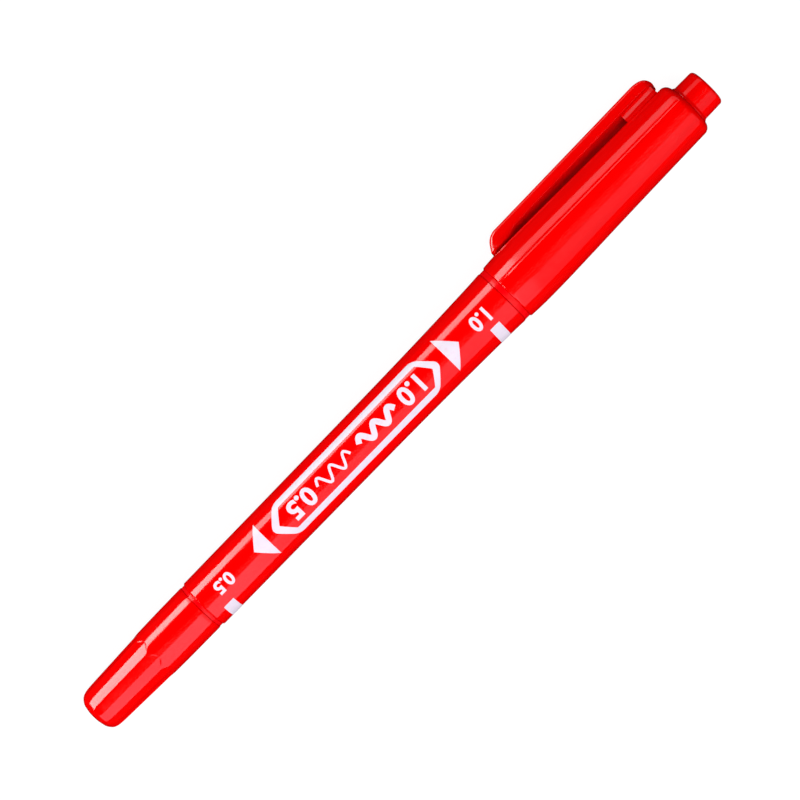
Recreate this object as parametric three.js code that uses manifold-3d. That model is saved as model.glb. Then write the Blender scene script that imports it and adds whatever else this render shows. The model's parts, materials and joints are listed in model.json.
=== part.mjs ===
// Twin-tip marker, capped at both ends, lying on a table as it comes to rest: on its large cap and
// on the edge of that cap's clip. Millimetres, +Z up, the pen's axis along +X.
//
// Every turned piece is drawn in the pen's own frame: x runs along the axis from the closed end of
// the small cap (0) to the end of the large cap's plug (140), and +Y points at the clip.
// One group rolls the pen on to its clip, and another sets it down on z = 0.

import * as THREE from "three";
import { mergeVertices } from "three/addons/utils/BufferGeometryUtils.js";
import Module from "manifold-3d";

const wasm = await Module();
wasm.setup();

// ---- Driving dimensions -----------------------------------------------------------------------

const AROUND = 40; // flats round a large turned piece
const AROUND_SMALL = 28; // flats round a nib, a liner or the plug
const ROUND_STEPS = 3; // divisions of each rounded stretch of an outline
const FIT = 0.1; // radial clearance of a push fit
const JOINT_GAP = 0.12; // axial gap where two mouldings meet

// The whole pen, along its axis
const PEN_LENGTH = 140;
const SMALL_CAP_MOUTH = 24.3;
const BARREL_START = 24.95;
const BARREL_END = 93.2;
const LARGE_CAP_MOUTH = 94.2;
const LARGE_CAP_END = 135.6;

// Barrel
const BARREL = {
  startRadius: 4.53,
  waistRadius: 4.7,
  waist: 68, // where the flare towards the large cap begins
  flareRadius: 5.1,
  flareEnd: 91.4,
  lipRadius: 5.26,
  edge: 0.16, // chamfer on both rims
  startBore: 3.6,
  endBore: 4.2,
  seatDepth: 9, // how far each nib holder plugs in
  ribCount: 6,
  ribWidth: 0.7,
  ribInnerRadius: 3.45,
};

// Ink store
const RESERVOIR = { start: 34.6, end: 83.4, radius: 3.1 };
const FILM = { wall: 0.15, overhang: 0.4 };

// Large cap's end of the pen: the fine nib
const FINE_NIB = { radius: 1.3, rear: 76, shoulder: 113.6, tip: 117.1, tipRadius: 0.5 };
const FINE_HOLDER = {
  collarRadius: 5.02,
  seatRadius: 4.45,
  seatEnd: 100.6,
  shoulderRadius: 4,
  shoulder: 101.4,
  noseRadius: 2.7,
  noseStart: 106.4,
  noseEnd: 110.6,
  mouthRadius: 1.9,
  mouth: 112.4,
  hollowRadius: 3.2,
  hollowEnd: 97,
};
const LARGE_CAP = {
  mouthRadius: 5.36,
  bellyRadius: 5.56,
  belly: 100.5,
  middleRadius: 5.28, // pulls the taper in a little, half way along
  shoulderRadius: 5.03,
  shoulder: 134.2,
  endRadius: 3.7,
  bore: 4.55,
  boreStep: 101.8,
  innerBore: 4.45,
  endBore: 4.22,
  endWall: 2.6,
  plugHole: 2.5,
  edge: 0.16,
};
const LARGE_LINER = { bore: 3, radius: 3.7, flange: 4.1, mouth: 105.6, end: 131.8, wall: 1.3, flangeLength: 1.6 };
const PLUG = { radius: 3.43, stemStart: 132.2, edge: 0.5, bore: 1.7, wall: 1.3 };

// Clip, measured from the pen's axis
const CLIP = {
  halfWidth: 2.4,
  edge: 0.6, // rounding of its outer long edges
  innerEdge: 0.25,
  tip: 97.1,
  noseLength: 3.8,
  outerAtTip: 8.35,
  outerAtRoot: 8.62,
  thickness: 1.95,
  padStart: 97.4,
  padEnd: 100.3,
  padRadius: 5.92, // inner face of the pad that grips a pocket
  root: 127.1, // front face of the web that carries it
  headEnd: 134.3,
  headTurnDown: 131.4,
  webEnd: 133.5,
  webHalfWidth: 1.6,
  flexGap: 0.3,
};

// Small cap's end of the pen: the extra fine nib
const EXTRA_FINE_NIB = { radius: 0.6, rear: 41, shoulder: 7.6, tip: 5.9, tipRadius: 0.25 };
const EXTRA_FINE_HOLDER = {
  collarRadius: 4.2,
  seatRadius: 3.42,
  seatEnd: 18.3,
  shoulderRadius: 3,
  shoulder: 17.6,
  noseRadius: 2,
  noseStart: 14.2,
  noseEnd: 11.6,
  mouthRadius: 1.05,
  mouth: 8.3,
  hollowRadius: 2.6,
  hollowEnd: 24,
};
const SMALL_CAP = {
  endFlatRadius: 1.7,
  endRound: 1.9, // length of the rounded edge
  endRadius: 3.84,
  gripRadius: 4.26, // where the round part takes over from the flats
  grip: 12.65,
  waistRadius: 4.36,
  waist: 17,
  mouthRadius: 4.41,
  bore: 3.52,
  boreStep: 17.4,
  innerBore: 2.9,
  innerBoreStart: 16.2,
  endWall: 2,
  edge: 0.15,
};
const GRIP = { flats: 8, turn: 35, rampTop: 14.2, rampFoot: 12.65, topRadius: 4.3, footRadius: 4.1, endRadius: 3.55 };
const SMALL_LINER = { bore: 2.12, radius: 2.8, mouth: 13.7, end: 2.3, wall: 1.3 };

// ---- Materials --------------------------------------------------------------------------------

const plastic = (color, roughness) => new THREE.MeshStandardMaterial({ color, roughness, metalness: 0 });

const RED_SHELL = plastic(0xe60000, 0.25);
const RED_HOLDER = plastic(0xc40808, 0.35);
const NATURAL_LINER = plastic(0xe9e4dc, 0.45);
const RED_FELT = plastic(0x8e0610, 0.9);
const CLEAR_FILM = plastic(0xd8dde2, 0.2);
const INKED_FIBRE = plastic(0xa31018, 1);

// ---- Solids -----------------------------------------------------------------------------------

function toSolid(geometry) {
  const bare = geometry.index ? geometry.toNonIndexed() : geometry.clone();
  bare.deleteAttribute("normal");
  bare.deleteAttribute("uv");
  const merged = mergeVertices(bare, 1e-4);
  return new wasm.Manifold(
    new wasm.Mesh({
      numProp: 3,
      vertProperties: merged.attributes.position.array,
      triVerts: new Uint32Array(merged.index.array),
    }),
  );
}

function toGeometry(solid) {
  const mesh = solid.getMesh();
  const geometry = new THREE.BufferGeometry();
  geometry.setAttribute("position", new THREE.BufferAttribute(mesh.vertProperties, 3));
  geometry.setIndex(new THREE.BufferAttribute(mesh.triVerts, 1));
  return geometry;
}

// Turns an outline, drawn as (radius, distance along the pen), about the pen's axis.
function turned(outline, around = AROUND) {
  return new THREE.LatheGeometry(outline.getPoints(ROUND_STEPS), around).rotateZ(-Math.PI / 2);
}

// A plate with the given side view (along the pen, away from its axis), centred on the clip's plane.
function plate(sideView, halfWidth) {
  const geometry = new THREE.ExtrudeGeometry(sideView, {
    depth: 2 * halfWidth,
    curveSegments: 6,
    bevelEnabled: false,
  });
  return geometry.translate(0, 0, -halfWidth);
}

// A liner cup: a thin tube that is closed at one end, and opens at its mouth.
function linerOutline({ bore, radius, mouth, end, wall }) {
  const inward = Math.sign(mouth - end);
  return new THREE.Path()
    .moveTo(0, end)
    .lineTo(radius, end)
    .lineTo(radius, mouth - 0.3 * inward)
    .lineTo(radius - 0.2, mouth)
    .lineTo(bore + 0.15, mouth)
    .lineTo(bore, mouth - 0.3 * inward)
    .lineTo(bore, end + wall * inward)
    .lineTo(0, end + wall * inward);
}

// A fibre nib: a rod with a tapered, rounded point.
function nibOutline({ radius, rear, shoulder, tip, tipRadius }) {
  const forward = Math.sign(tip - rear);
  return new THREE.Path()
    .moveTo(0, rear)
    .lineTo(radius - 0.15, rear)
    .lineTo(radius, rear + 0.3 * forward)
    .lineTo(radius, shoulder)
    .lineTo(tipRadius * 1.15, tip - tipRadius * forward)
    .quadraticCurveTo(tipRadius * 0.9, tip, 0, tip);
}

// A nib holder: plug inside the barrel, collar between barrel and cap, seat for the cap, cone, nose.
function holderOutline(h, nibRadius, plugRadius, barrelRim, capRim) {
  const forward = Math.sign(capRim - barrelRim);
  const plugEnd = barrelRim - (BARREL.seatDepth - JOINT_GAP) * forward;
  const collarBack = barrelRim + JOINT_GAP * forward;
  const collarFace = capRim - JOINT_GAP * forward;
  return new THREE.Path()
    .moveTo(h.hollowRadius, plugEnd)
    .lineTo(plugRadius - 0.2, plugEnd)
    .lineTo(plugRadius, plugEnd + 0.5 * forward)
    .lineTo(plugRadius, collarBack)
    .lineTo(h.collarRadius, collarBack)
    .lineTo(h.collarRadius, collarFace)
    .lineTo(h.seatRadius, collarFace)
    .lineTo(h.seatRadius, h.seatEnd)
    .lineTo(h.shoulderRadius, h.shoulder)
    .lineTo(h.noseRadius, h.noseStart)
    .lineTo(h.noseRadius, h.noseEnd)
    .lineTo(h.mouthRadius, h.mouth)
    .lineTo(nibRadius + FIT, h.mouth)
    .lineTo(nibRadius + FIT, h.hollowEnd + 1.5 * forward)
    .lineTo(h.hollowRadius, h.hollowEnd)
    .lineTo(h.hollowRadius, plugEnd);
}

// Facing the same way along the outline for both ends of the pen keeps every surface pointing out.
function reversed(path) {
  return { getPoints: (divisions) => path.getPoints(divisions).reverse() };
}

// ---- Barrel and ink store ---------------------------------------------------------------------

function barrelGeometry() {
  const b = BARREL;
  const outline = new THREE.Path()
    .moveTo(b.startBore, BARREL_START)
    .lineTo(b.startRadius - b.edge, BARREL_START)
    .lineTo(b.startRadius, BARREL_START + b.edge)
    .lineTo(b.waistRadius, b.waist)
    .quadraticCurveTo(b.waistRadius + 0.08, (b.waist + b.flareEnd) / 2 + 2, b.flareRadius, b.flareEnd)
    .quadraticCurveTo(b.lipRadius - 0.08, BARREL_END - 1, b.lipRadius, BARREL_END - b.edge)
    .lineTo(b.lipRadius - b.edge, BARREL_END)
    .lineTo(b.endBore, BARREL_END)
    .lineTo(b.endBore, BARREL_END - b.seatDepth)
    .lineTo(b.startBore, BARREL_START + b.seatDepth)
    .lineTo(b.startBore, BARREL_START);
  const tube = toSolid(turned(outline));

  // Ribs hold the reservoir off the wall, so that air can pass along it.
  const ribStart = BARREL_START + b.seatDepth + 2;
  const ribLength = BARREL_END - b.seatDepth - 2 - ribStart;
  const ribHeight = b.endBore + 0.1 - b.ribInnerRadius;
  const rib = new THREE.BoxGeometry(ribLength, ribHeight, b.ribWidth).translate(
    ribStart + ribLength / 2,
    b.ribInnerRadius + ribHeight / 2,
    0,
  );
  let solid = tube;
  for (let i = 0; i < b.ribCount; i += 1) {
    solid = solid.add(toSolid(rib.clone().rotateX((i * 2 * Math.PI) / b.ribCount)));
  }
  return toGeometry(solid);
}

// The fibre bundle is bored at both ends where the nibs push into it.
function reservoirGeometry() {
  const r = RESERVOIR;
  const outline = new THREE.Path()
    .moveTo(0, EXTRA_FINE_NIB.rear + 0.3)
    .lineTo(EXTRA_FINE_NIB.radius + FIT, EXTRA_FINE_NIB.rear + 0.3)
    .lineTo(EXTRA_FINE_NIB.radius + FIT, r.start)
    .lineTo(r.radius, r.start)
    .lineTo(r.radius, r.end)
    .lineTo(FINE_NIB.radius + FIT, r.end)
    .lineTo(FINE_NIB.radius + FIT, FINE_NIB.rear - 0.3)
    .lineTo(0, FINE_NIB.rear - 0.3);
  return turned(outline, AROUND_SMALL);
}

function filmGeometry() {
  const inner = RESERVOIR.radius + 0.05;
  const start = RESERVOIR.start - FILM.overhang;
  const end = RESERVOIR.end + FILM.overhang;
  const outline = new THREE.Path()
    .moveTo(inner, start)
    .lineTo(inner + FILM.wall, start)
    .lineTo(inner + FILM.wall, end)
    .lineTo(inner, end)
    .lineTo(inner, start);
  return turned(outline, AROUND_SMALL);
}

// ---- Large cap and its end of the pen ---------------------------------------------------------

function fineHolderGeometry() {
  const plugRadius = BARREL.endBore - FIT;
  return turned(holderOutline(FINE_HOLDER, FINE_NIB.radius, plugRadius, BARREL_END, LARGE_CAP_MOUTH));
}

function largeCapOutline() {
  const c = LARGE_CAP;
  const innerEnd = LARGE_CAP_END - c.endWall;
  return new THREE.Path()
    .moveTo(c.bore, LARGE_CAP_MOUTH)
    .lineTo(c.mouthRadius - c.edge, LARGE_CAP_MOUTH)
    .lineTo(c.mouthRadius, LARGE_CAP_MOUTH + c.edge)
    .quadraticCurveTo(c.bellyRadius, LARGE_CAP_MOUTH + 2, c.bellyRadius, c.belly)
    .quadraticCurveTo(c.middleRadius, (c.belly + c.shoulder) / 2, c.shoulderRadius, c.shoulder)
    .quadraticCurveTo(c.shoulderRadius - 0.1, LARGE_CAP_END - 0.3, c.endRadius, LARGE_CAP_END)
    .lineTo(c.plugHole, LARGE_CAP_END)
    .lineTo(c.plugHole, innerEnd)
    .lineTo(c.endBore, innerEnd)
    .lineTo(c.innerBore, c.boreStep + 0.4)
    .lineTo(c.bore, c.boreStep)
    .lineTo(c.bore, LARGE_CAP_MOUTH);
}

// Height of the clip's outer face above the pen's axis.
function clipOuter(x) {
  const share = (x - CLIP.tip) / (CLIP.headTurnDown - CLIP.tip);
  return THREE.MathUtils.lerp(CLIP.outerAtTip, CLIP.outerAtRoot, share);
}

const clipInner = (x) => clipOuter(x) - CLIP.thickness;

// A bar with the clip's cross-section, its outer edges rounded, along the clip's sloping outer face.
function clipBar() {
  const { halfWidth, edge, innerEdge, tip, headEnd } = CLIP;
  const depth = CLIP.outerAtTip - CLIP.padRadius + 0.2;
  const section = new THREE.Shape()
    .absarc(halfWidth - edge, -edge, edge, 0, Math.PI / 2)
    .absarc(edge - halfWidth, -edge, edge, Math.PI / 2, Math.PI)
    .lineTo(-halfWidth, innerEdge - depth)
    .lineTo(innerEdge - halfWidth, -depth)
    .lineTo(halfWidth - innerEdge, -depth)
    .lineTo(halfWidth, innerEdge - depth);
  const options = { depth: headEnd - tip + 2, curveSegments: 4, bevelEnabled: false };
  const slope = (clipOuter(headEnd) - clipOuter(tip)) / (headEnd - tip);
  return new THREE.ExtrudeGeometry(section, options)
    .rotateY(Math.PI / 2)
    .rotateZ(Math.atan(slope))
    .translate(tip - 1, clipOuter(tip - 1), 0);
}

// The shell carries the web and the head, which the clip's arm springs from.
function largeCapGeometry() {
  const web = new THREE.Shape()
    .moveTo(CLIP.root, LARGE_CAP.shoulderRadius - 0.3)
    .lineTo(CLIP.webEnd, LARGE_CAP.shoulderRadius - 0.3)
    .lineTo(CLIP.webEnd, clipInner(CLIP.webEnd) + 0.3)
    .lineTo(CLIP.root, clipInner(CLIP.root) + 0.3);
  const head = new THREE.Shape()
    .moveTo(CLIP.root, clipInner(CLIP.root))
    .lineTo(CLIP.webEnd, clipInner(CLIP.webEnd))
    .lineTo(CLIP.headEnd, clipInner(CLIP.headEnd) + 0.4)
    .quadraticCurveTo(CLIP.headEnd - 0.1, clipOuter(CLIP.headEnd), CLIP.headTurnDown, CLIP.outerAtRoot)
    .lineTo(CLIP.root, clipOuter(CLIP.root));
  const shell = toSolid(turned(largeCapOutline()));
  const headSolid = toSolid(plate(head, CLIP.halfWidth + 1)).intersect(toSolid(clipBar()));
  return toGeometry(shell.add(toSolid(plate(web, CLIP.webHalfWidth))).add(headSolid));
}

function clipArmGeometry() {
  const rear = CLIP.root - CLIP.flexGap;
  const noseEnd = CLIP.tip + CLIP.noseLength;
  const side = new THREE.Shape()
    .moveTo(rear, clipOuter(rear))
    .lineTo(noseEnd, clipOuter(noseEnd))
    .quadraticCurveTo(CLIP.tip + 0.4, clipOuter(CLIP.tip), CLIP.tip, CLIP.padRadius + 0.7)
    .quadraticCurveTo(CLIP.tip, CLIP.padRadius, CLIP.padStart + 0.5, CLIP.padRadius)
    .lineTo(CLIP.padEnd - 0.8, CLIP.padRadius)
    .lineTo(CLIP.padEnd + 1, clipInner(CLIP.padEnd + 1))
    .lineTo(rear, clipInner(rear));
  return toGeometry(toSolid(plate(side, CLIP.halfWidth + 1)).intersect(toSolid(clipBar())));
}

function largeLinerGeometry() {
  const flange = new THREE.Path()
    .moveTo(LARGE_LINER.radius - 0.2, LARGE_LINER.end - LARGE_LINER.flangeLength)
    .lineTo(LARGE_LINER.flange - 0.2, LARGE_LINER.end - LARGE_LINER.flangeLength)
    .lineTo(LARGE_LINER.flange, LARGE_LINER.end - LARGE_LINER.flangeLength + 0.3)
    .lineTo(LARGE_LINER.flange, LARGE_LINER.end)
    .lineTo(LARGE_LINER.radius - 0.2, LARGE_LINER.end)
    .lineTo(LARGE_LINER.radius - 0.2, LARGE_LINER.end - LARGE_LINER.flangeLength);
  const cup = toSolid(turned(reversed(linerOutline(LARGE_LINER)), AROUND_SMALL));
  return toGeometry(cup.add(toSolid(turned(flange, AROUND_SMALL))));
}

// The knob on the end of the large cap, a hollow plug whose stem sits in the shell's end wall.
function plugGeometry() {
  const p = PLUG;
  const face = LARGE_CAP_END + JOINT_GAP;
  const stem = LARGE_CAP.plugHole - FIT;
  const outline = new THREE.Path()
    .moveTo(p.bore, p.stemStart)
    .lineTo(stem, p.stemStart)
    .lineTo(stem, face)
    .lineTo(p.radius + 0.15, face)
    .quadraticCurveTo(p.radius, face + 0.2, p.radius, face + 1)
    .lineTo(p.radius, PEN_LENGTH - p.edge)
    .quadraticCurveTo(p.radius, PEN_LENGTH, p.radius - p.edge, PEN_LENGTH)
    .lineTo(0, PEN_LENGTH)
    .lineTo(0, PEN_LENGTH - p.wall)
    .lineTo(p.bore, PEN_LENGTH - p.wall)
    .lineTo(p.bore, p.stemStart);
  return turned(outline, AROUND_SMALL);
}

// ---- Small cap and its end of the pen ---------------------------------------------------------

function extraFineHolderGeometry() {
  const h = EXTRA_FINE_HOLDER;
  const plugRadius = BARREL.startBore - FIT;
  return turned(
    reversed(holderOutline(h, EXTRA_FINE_NIB.radius, plugRadius, BARREL_START, SMALL_CAP_MOUTH)),
  );
}

function smallCapGeometry() {
  const c = SMALL_CAP;
  const outline = new THREE.Path()
    .moveTo(0, 0)
    .lineTo(c.endFlatRadius, 0)
    .quadraticCurveTo(c.endRadius - 0.3, 0.1, c.endRadius, c.endRound)
    .lineTo(c.gripRadius, c.grip)
    .lineTo(c.waistRadius, c.waist)
    .lineTo(c.mouthRadius, SMALL_CAP_MOUTH - c.edge)
    .lineTo(c.mouthRadius - c.edge, SMALL_CAP_MOUTH)
    .lineTo(c.bore, SMALL_CAP_MOUTH)
    .lineTo(c.bore, c.boreStep)
    .lineTo(c.innerBore, c.innerBoreStart)
    .lineTo(c.innerBore, c.endWall)
    .lineTo(0, c.endWall);

  // Flats for the fingers, each with a short ramp where it leaves the round part.
  const beyond = 6;
  const cut = new THREE.Shape()
    .moveTo(GRIP.rampTop, GRIP.topRadius)
    .lineTo(GRIP.rampTop, beyond)
    .lineTo(-1, beyond)
    .lineTo(-1, GRIP.endRadius)
    .lineTo(GRIP.rampFoot, GRIP.footRadius);
  const cutter = plate(cut, 3);
  let solid = toSolid(turned(outline));
  for (let i = 0; i < GRIP.flats; i += 1) {
    const turn = THREE.MathUtils.degToRad(GRIP.turn) + (i * 2 * Math.PI) / GRIP.flats;
    solid = solid.subtract(toSolid(cutter.clone().rotateX(turn)));
  }
  return toGeometry(solid);
}

// ---- Assembly ---------------------------------------------------------------------------------

const pieces = [
  ["barrel", barrelGeometry(), RED_SHELL],
  ["ink_reservoir", reservoirGeometry(), INKED_FIBRE],
  ["reservoir_film", filmGeometry(), CLEAR_FILM],
  ["fine_nib_holder", fineHolderGeometry(), RED_HOLDER],
  ["fine_nib", turned(nibOutline(FINE_NIB), AROUND_SMALL), RED_FELT],
  ["extra_fine_nib_holder", extraFineHolderGeometry(), RED_HOLDER],
  ["extra_fine_nib", turned(reversed(nibOutline(EXTRA_FINE_NIB)), AROUND_SMALL), RED_FELT],
  ["fine_cap_shell", largeCapGeometry(), RED_SHELL],
  ["clip_arm", clipArmGeometry(), RED_SHELL],
  ["fine_cap_liner", largeLinerGeometry(), NATURAL_LINER],
  ["cap_end_plug", plugGeometry(), RED_SHELL],
  ["extra_fine_cap_shell", smallCapGeometry(), RED_SHELL],
  ["extra_fine_cap_liner", turned(linerOutline(SMALL_LINER), AROUND_SMALL), NATURAL_LINER],
];

const pen = new THREE.Group();
for (const [name, geometry, material] of pieces) {
  const mesh = new THREE.Mesh(geometry, material);
  mesh.name = name;
  pen.add(mesh);
}

// The pen rolls towards its clip until the clip's rounded edge is as low as the cap's belly.
function restingRoll() {
  const edgeOut = CLIP.outerAtRoot - CLIP.edge;
  const edgeAside = CLIP.halfWidth - CLIP.edge;
  const reach = Math.hypot(edgeOut, edgeAside);
  return Math.asin((LARGE_CAP.bellyRadius - CLIP.edge) / reach) - Math.atan2(edgeAside, edgeOut);
}
pen.rotation.x = -restingRoll();

const marker = new THREE.Group().add(pen);
const bounds = new THREE.Box3().setFromObject(marker, true);
const centre = bounds.getCenter(new THREE.Vector3());
marker.position.set(-centre.x, -centre.y, -bounds.min.z);

export default marker;
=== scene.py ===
"""Twin-tip permanent marker: the finished pieces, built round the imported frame.

Every turned piece is drawn in the pen's own frame, in millimetres: x runs along the pen's axis
from the small cap's closed end (0) to the knob (140), and +Y points at the clip. set_down() then
rolls a piece on to the clip's edge and lays it where the frame has it.
"""

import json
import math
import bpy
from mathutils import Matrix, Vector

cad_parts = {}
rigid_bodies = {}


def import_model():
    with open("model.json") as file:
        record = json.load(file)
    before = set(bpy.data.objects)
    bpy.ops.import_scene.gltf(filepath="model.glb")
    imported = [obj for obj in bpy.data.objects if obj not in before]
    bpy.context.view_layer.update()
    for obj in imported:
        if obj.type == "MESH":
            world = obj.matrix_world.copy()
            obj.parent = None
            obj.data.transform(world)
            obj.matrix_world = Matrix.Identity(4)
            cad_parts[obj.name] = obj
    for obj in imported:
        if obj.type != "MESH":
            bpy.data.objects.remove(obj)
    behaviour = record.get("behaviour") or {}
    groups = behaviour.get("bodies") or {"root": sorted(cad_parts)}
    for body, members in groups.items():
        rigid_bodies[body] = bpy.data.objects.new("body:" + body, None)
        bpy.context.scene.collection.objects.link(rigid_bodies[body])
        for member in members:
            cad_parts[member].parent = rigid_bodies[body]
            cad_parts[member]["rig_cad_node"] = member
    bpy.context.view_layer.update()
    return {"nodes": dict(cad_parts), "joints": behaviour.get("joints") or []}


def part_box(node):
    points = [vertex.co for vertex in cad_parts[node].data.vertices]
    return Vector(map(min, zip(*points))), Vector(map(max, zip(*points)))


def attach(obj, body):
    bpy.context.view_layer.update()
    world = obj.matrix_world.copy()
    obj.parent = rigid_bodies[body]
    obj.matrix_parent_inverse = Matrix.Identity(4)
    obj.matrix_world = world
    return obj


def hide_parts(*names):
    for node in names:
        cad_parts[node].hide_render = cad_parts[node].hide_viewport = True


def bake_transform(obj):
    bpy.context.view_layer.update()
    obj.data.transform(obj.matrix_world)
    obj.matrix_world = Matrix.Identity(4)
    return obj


bl_info = {
    "name": "Twin-tip Marker",
    "version": (1, 0, 0),
    "blender": (4, 5, 0),
    "location": "3D View > Sidebar > Marker",
    "description": "Builds a capped twin-tip permanent marker, its marks and its studio stage",
    "category": "Object",
}

import bmesh
import bpy
from mathutils import Vector

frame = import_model()

MM = 0.001

JOINTS = {joint["name"]: joint for joint in frame["joints"]}
BARREL_LOW, BARREL_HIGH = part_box("barrel")
SMALL_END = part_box("extra_fine_cap_shell")[0].x
AXIS_Y = (BARREL_LOW.y + BARREL_HIGH.y) / 2
AXIS_Z = (BARREL_LOW.z + BARREL_HIGH.z) / 2
CLIP_HINGE = JOINTS["clip_flex"]["axis"]
ROLL = math.atan2(-CLIP_HINGE[1], -CLIP_HINGE[2])

# Outlines along the pen, as (x, radius) in millimetres
SMALL_CAP_MOUTH = 24.3
BARREL_START = 24.95
BARREL_END = 93.2
LARGE_CAP_MOUTH = 94.2
LARGE_CAP_END = 135.6
PEN_END = 140.0

BARREL_SIDE = [
    (25.14, 4.535),
    (32, 4.565),
    (40, 4.585),
    (48, 4.61),
    (54, 4.635),
    (60, 4.665),
    (68, 4.71),
    (74, 4.77),
    (80, 4.855),
    (84, 4.935),
    (88, 5.03),
    (91, 5.115),
    (93.04, 5.22),
]
LARGE_CAP_SIDE = [
    (94.38, 5.37),
    (95.6, 5.46),
    (97.4, 5.53),
    (100.5, 5.56),
    (104, 5.53),
    (110, 5.41),
    (116, 5.29),
    (124, 5.16),
    (133.0, 5.04),
]
SMALL_CAP_SIDE = [
    (0.1, 1.7),
    (0.25, 2.35),
    (0.55, 2.92),
    (1.0, 3.44),
    (1.5, 3.71),
    (2.1, 3.86),
    (3, 3.94),
    (5, 4.02),
    (8, 4.12),
    (10, 4.195),
    (12.5, 4.275),
    (15.5, 4.345),
    (18, 4.385),
    (24.14, 4.415),
]

# The ridge where the mould's halves met, 6 degrees off the plane at right angles to the clip: its
# ends along the pen, and the least radius, which keeps it off the cap's inside
PARTING_TURN = math.radians(6)
PARTING_START = 95.2
PARTING_END = 134.9
PARTING_LEAST = 4.8

# The clip, in millimetres: where its head and nose begin, how far its outer face is from the
# pen's axis at each, and the draft of its sides as a share of its width
CLIP_HEAD = 131.4
CLIP_NOSE = 100.1
CLIP_HEAD_OUT = 8.62
CLIP_NOSE_OUT = 8.36
CLIP_DRAFT = 0.11

# The nose curls about a pivot, runs on straight while it thins, and its inner side is filled
# down to a floor that stays clear of the cap
NOSE_CURL = math.radians(56)
NOSE_PIVOT = 5.45
NOSE_STRAIGHT = 1.2
NOSE_THINNING = 0.4
NOSE_LENGTH = 3.2
NOSE_FLOOR = 5.68
NOSE_FILL_START = 103.0
NOSE_FILL_END = 99.8
NOSE_FILL_LEAST = 98.4

# The web, from the clip down into the cap's wall: its ends along the pen, and its distance from
# the axis and growth in width at each step down
WEB_START = 127.1
WEB_END = 133.75
WEB_MIDDLE = 130
WEB_STEPS = ((6.45, 0.95), (6.2, 0.99), (5.6, 1.0), (5.3, 1.03), (5.0, 1.1), (4.5, 1.15))

# Stations of the clip's arm, close together where it bends
CLIP_STATIONS = (
    (129.9, 128.4, 127.1, 126.4, 125.6, 124.9, 124.1, 123.4, 122.6, 121.9, 120.9)
    + (118.4, 115.4, 112.4, 109.4, 106.4, 103.9, 102.4, 101.2, 100.1)
)

# The small cap's finger flats: the turn of one flat from straight up, where their arched ends
# begin and how far they reach on, the length of the step there, the lean of a flat's two halves,
# which meet in a low ridge, and where the round part takes over
FLAT_TURN = math.radians(10)
FLAT_END = 12.8
FLAT_ARCH = 1.3
FLAT_STEP = 0.4
FLAT_LEAN = math.radians(7)
GRIP_END = 15.8

# The printed marks are drawn on the barrel's surface, unrolled at this radius. The frame's
# outline and its window are given by their first tip, their two side corners and their other tip.
PRINT_RADIUS = 4.65
PRINT_SINK = 0.02
MARK_HALF_WIDTH = 3.2
FRAME_OUTSIDE = (40.9, 44.0, 75.5, 78.75)
FRAME_WINDOW = (42.5, 44.4, 75.4, 77.2)
BAR_LAST = math.radians(205)
STROKE_WAVES = 2.5

# The lights: the name, how far along the pen, the lean from straight above in degrees, the
# distance, the size, the power in watts and the tint. A row of strips on the clip's side and a row
# of wide lights on the other are each dimmer towards the large cap.
NEUTRAL = (1.0, 1.0, 1.0)
COOL = (0.88, 0.82, 1.0)
LIGHTS = (
    ("strip_light", -1.57, 60, 0.5, (3.0, 0.23), 17.7, NEUTRAL),
    ("strip_light_mid", -0.015, 60, 0.5, (0.11, 0.2), 0.33, NEUTRAL),
    ("strip_light_dim", 0.10, 60, 0.5, (0.12, 0.2), 0.082, NEUTRAL),
    ("strip_light_far", 0.41, 60, 0.5, (0.5, 0.2), 0.16, NEUTRAL),
    ("wide_light", -1.56, -53, 0.5, (3.0, 0.6), 7.2, COOL),
    ("wide_light_mid", -0.01, -53, 0.5, (0.1, 0.6), 0.13, COOL),
    ("wide_light_dim", 0.29, -55, 0.5, (0.5, 0.52), 0.25, COOL),
    ("top_light", 0.0, -32, 0.7, (0.8, 0.8), 7.0, NEUTRAL),
)
FLOOR_SIZE = 3.0
FLOOR_DROP = 0.00003

# The camera looks straight down, turned so that the pen runs up to the right
CAMERA_TURN = math.radians(45.8)
CAMERA_HEIGHT = 0.6
CAMERA_LENS = 167.98
CAMERA_X = 0.00007
CAMERA_Y = -0.0013


# ---- Shaping ----------------------------------------------------------------------------------


def eased(points, step):
    """A smooth curve through (x, radius) points, with a point about every `step` millimetres."""
    out = []
    for i in range(len(points) - 1):
        x0, r0 = points[max(i - 1, 0)]
        x1, r1 = points[i]
        x2, r2 = points[i + 1]
        x3, r3 = points[min(i + 2, len(points) - 1)]
        slope_in = (r2 - r0) / (x2 - x0)
        slope_out = (r3 - r1) / (x3 - x1)
        span = x2 - x1
        count = max(1, round(abs(span) / step))
        for k in range(count):
            t = k / count
            out.append(
                (
                    x1 + span * t,
                    (2 * t**3 - 3 * t**2 + 1) * r1
                    + (t**3 - 2 * t**2 + t) * span * slope_in
                    + (3 * t**2 - 2 * t**3) * r2
                    + (t**3 - t**2) * span * slope_out,
                )
            )
    out.append(points[-1])
    return out


def radius_at(side, x):
    """Radius of an outline at a distance along the pen, in millimetres."""
    for (x1, r1), (x2, r2) in zip(side, side[1:]):
        if x <= x2:
            t = max(0.0, (x - x1) / (x2 - x1))
            return r1 + (r2 - r1) * t
    return side[-1][1]


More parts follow.
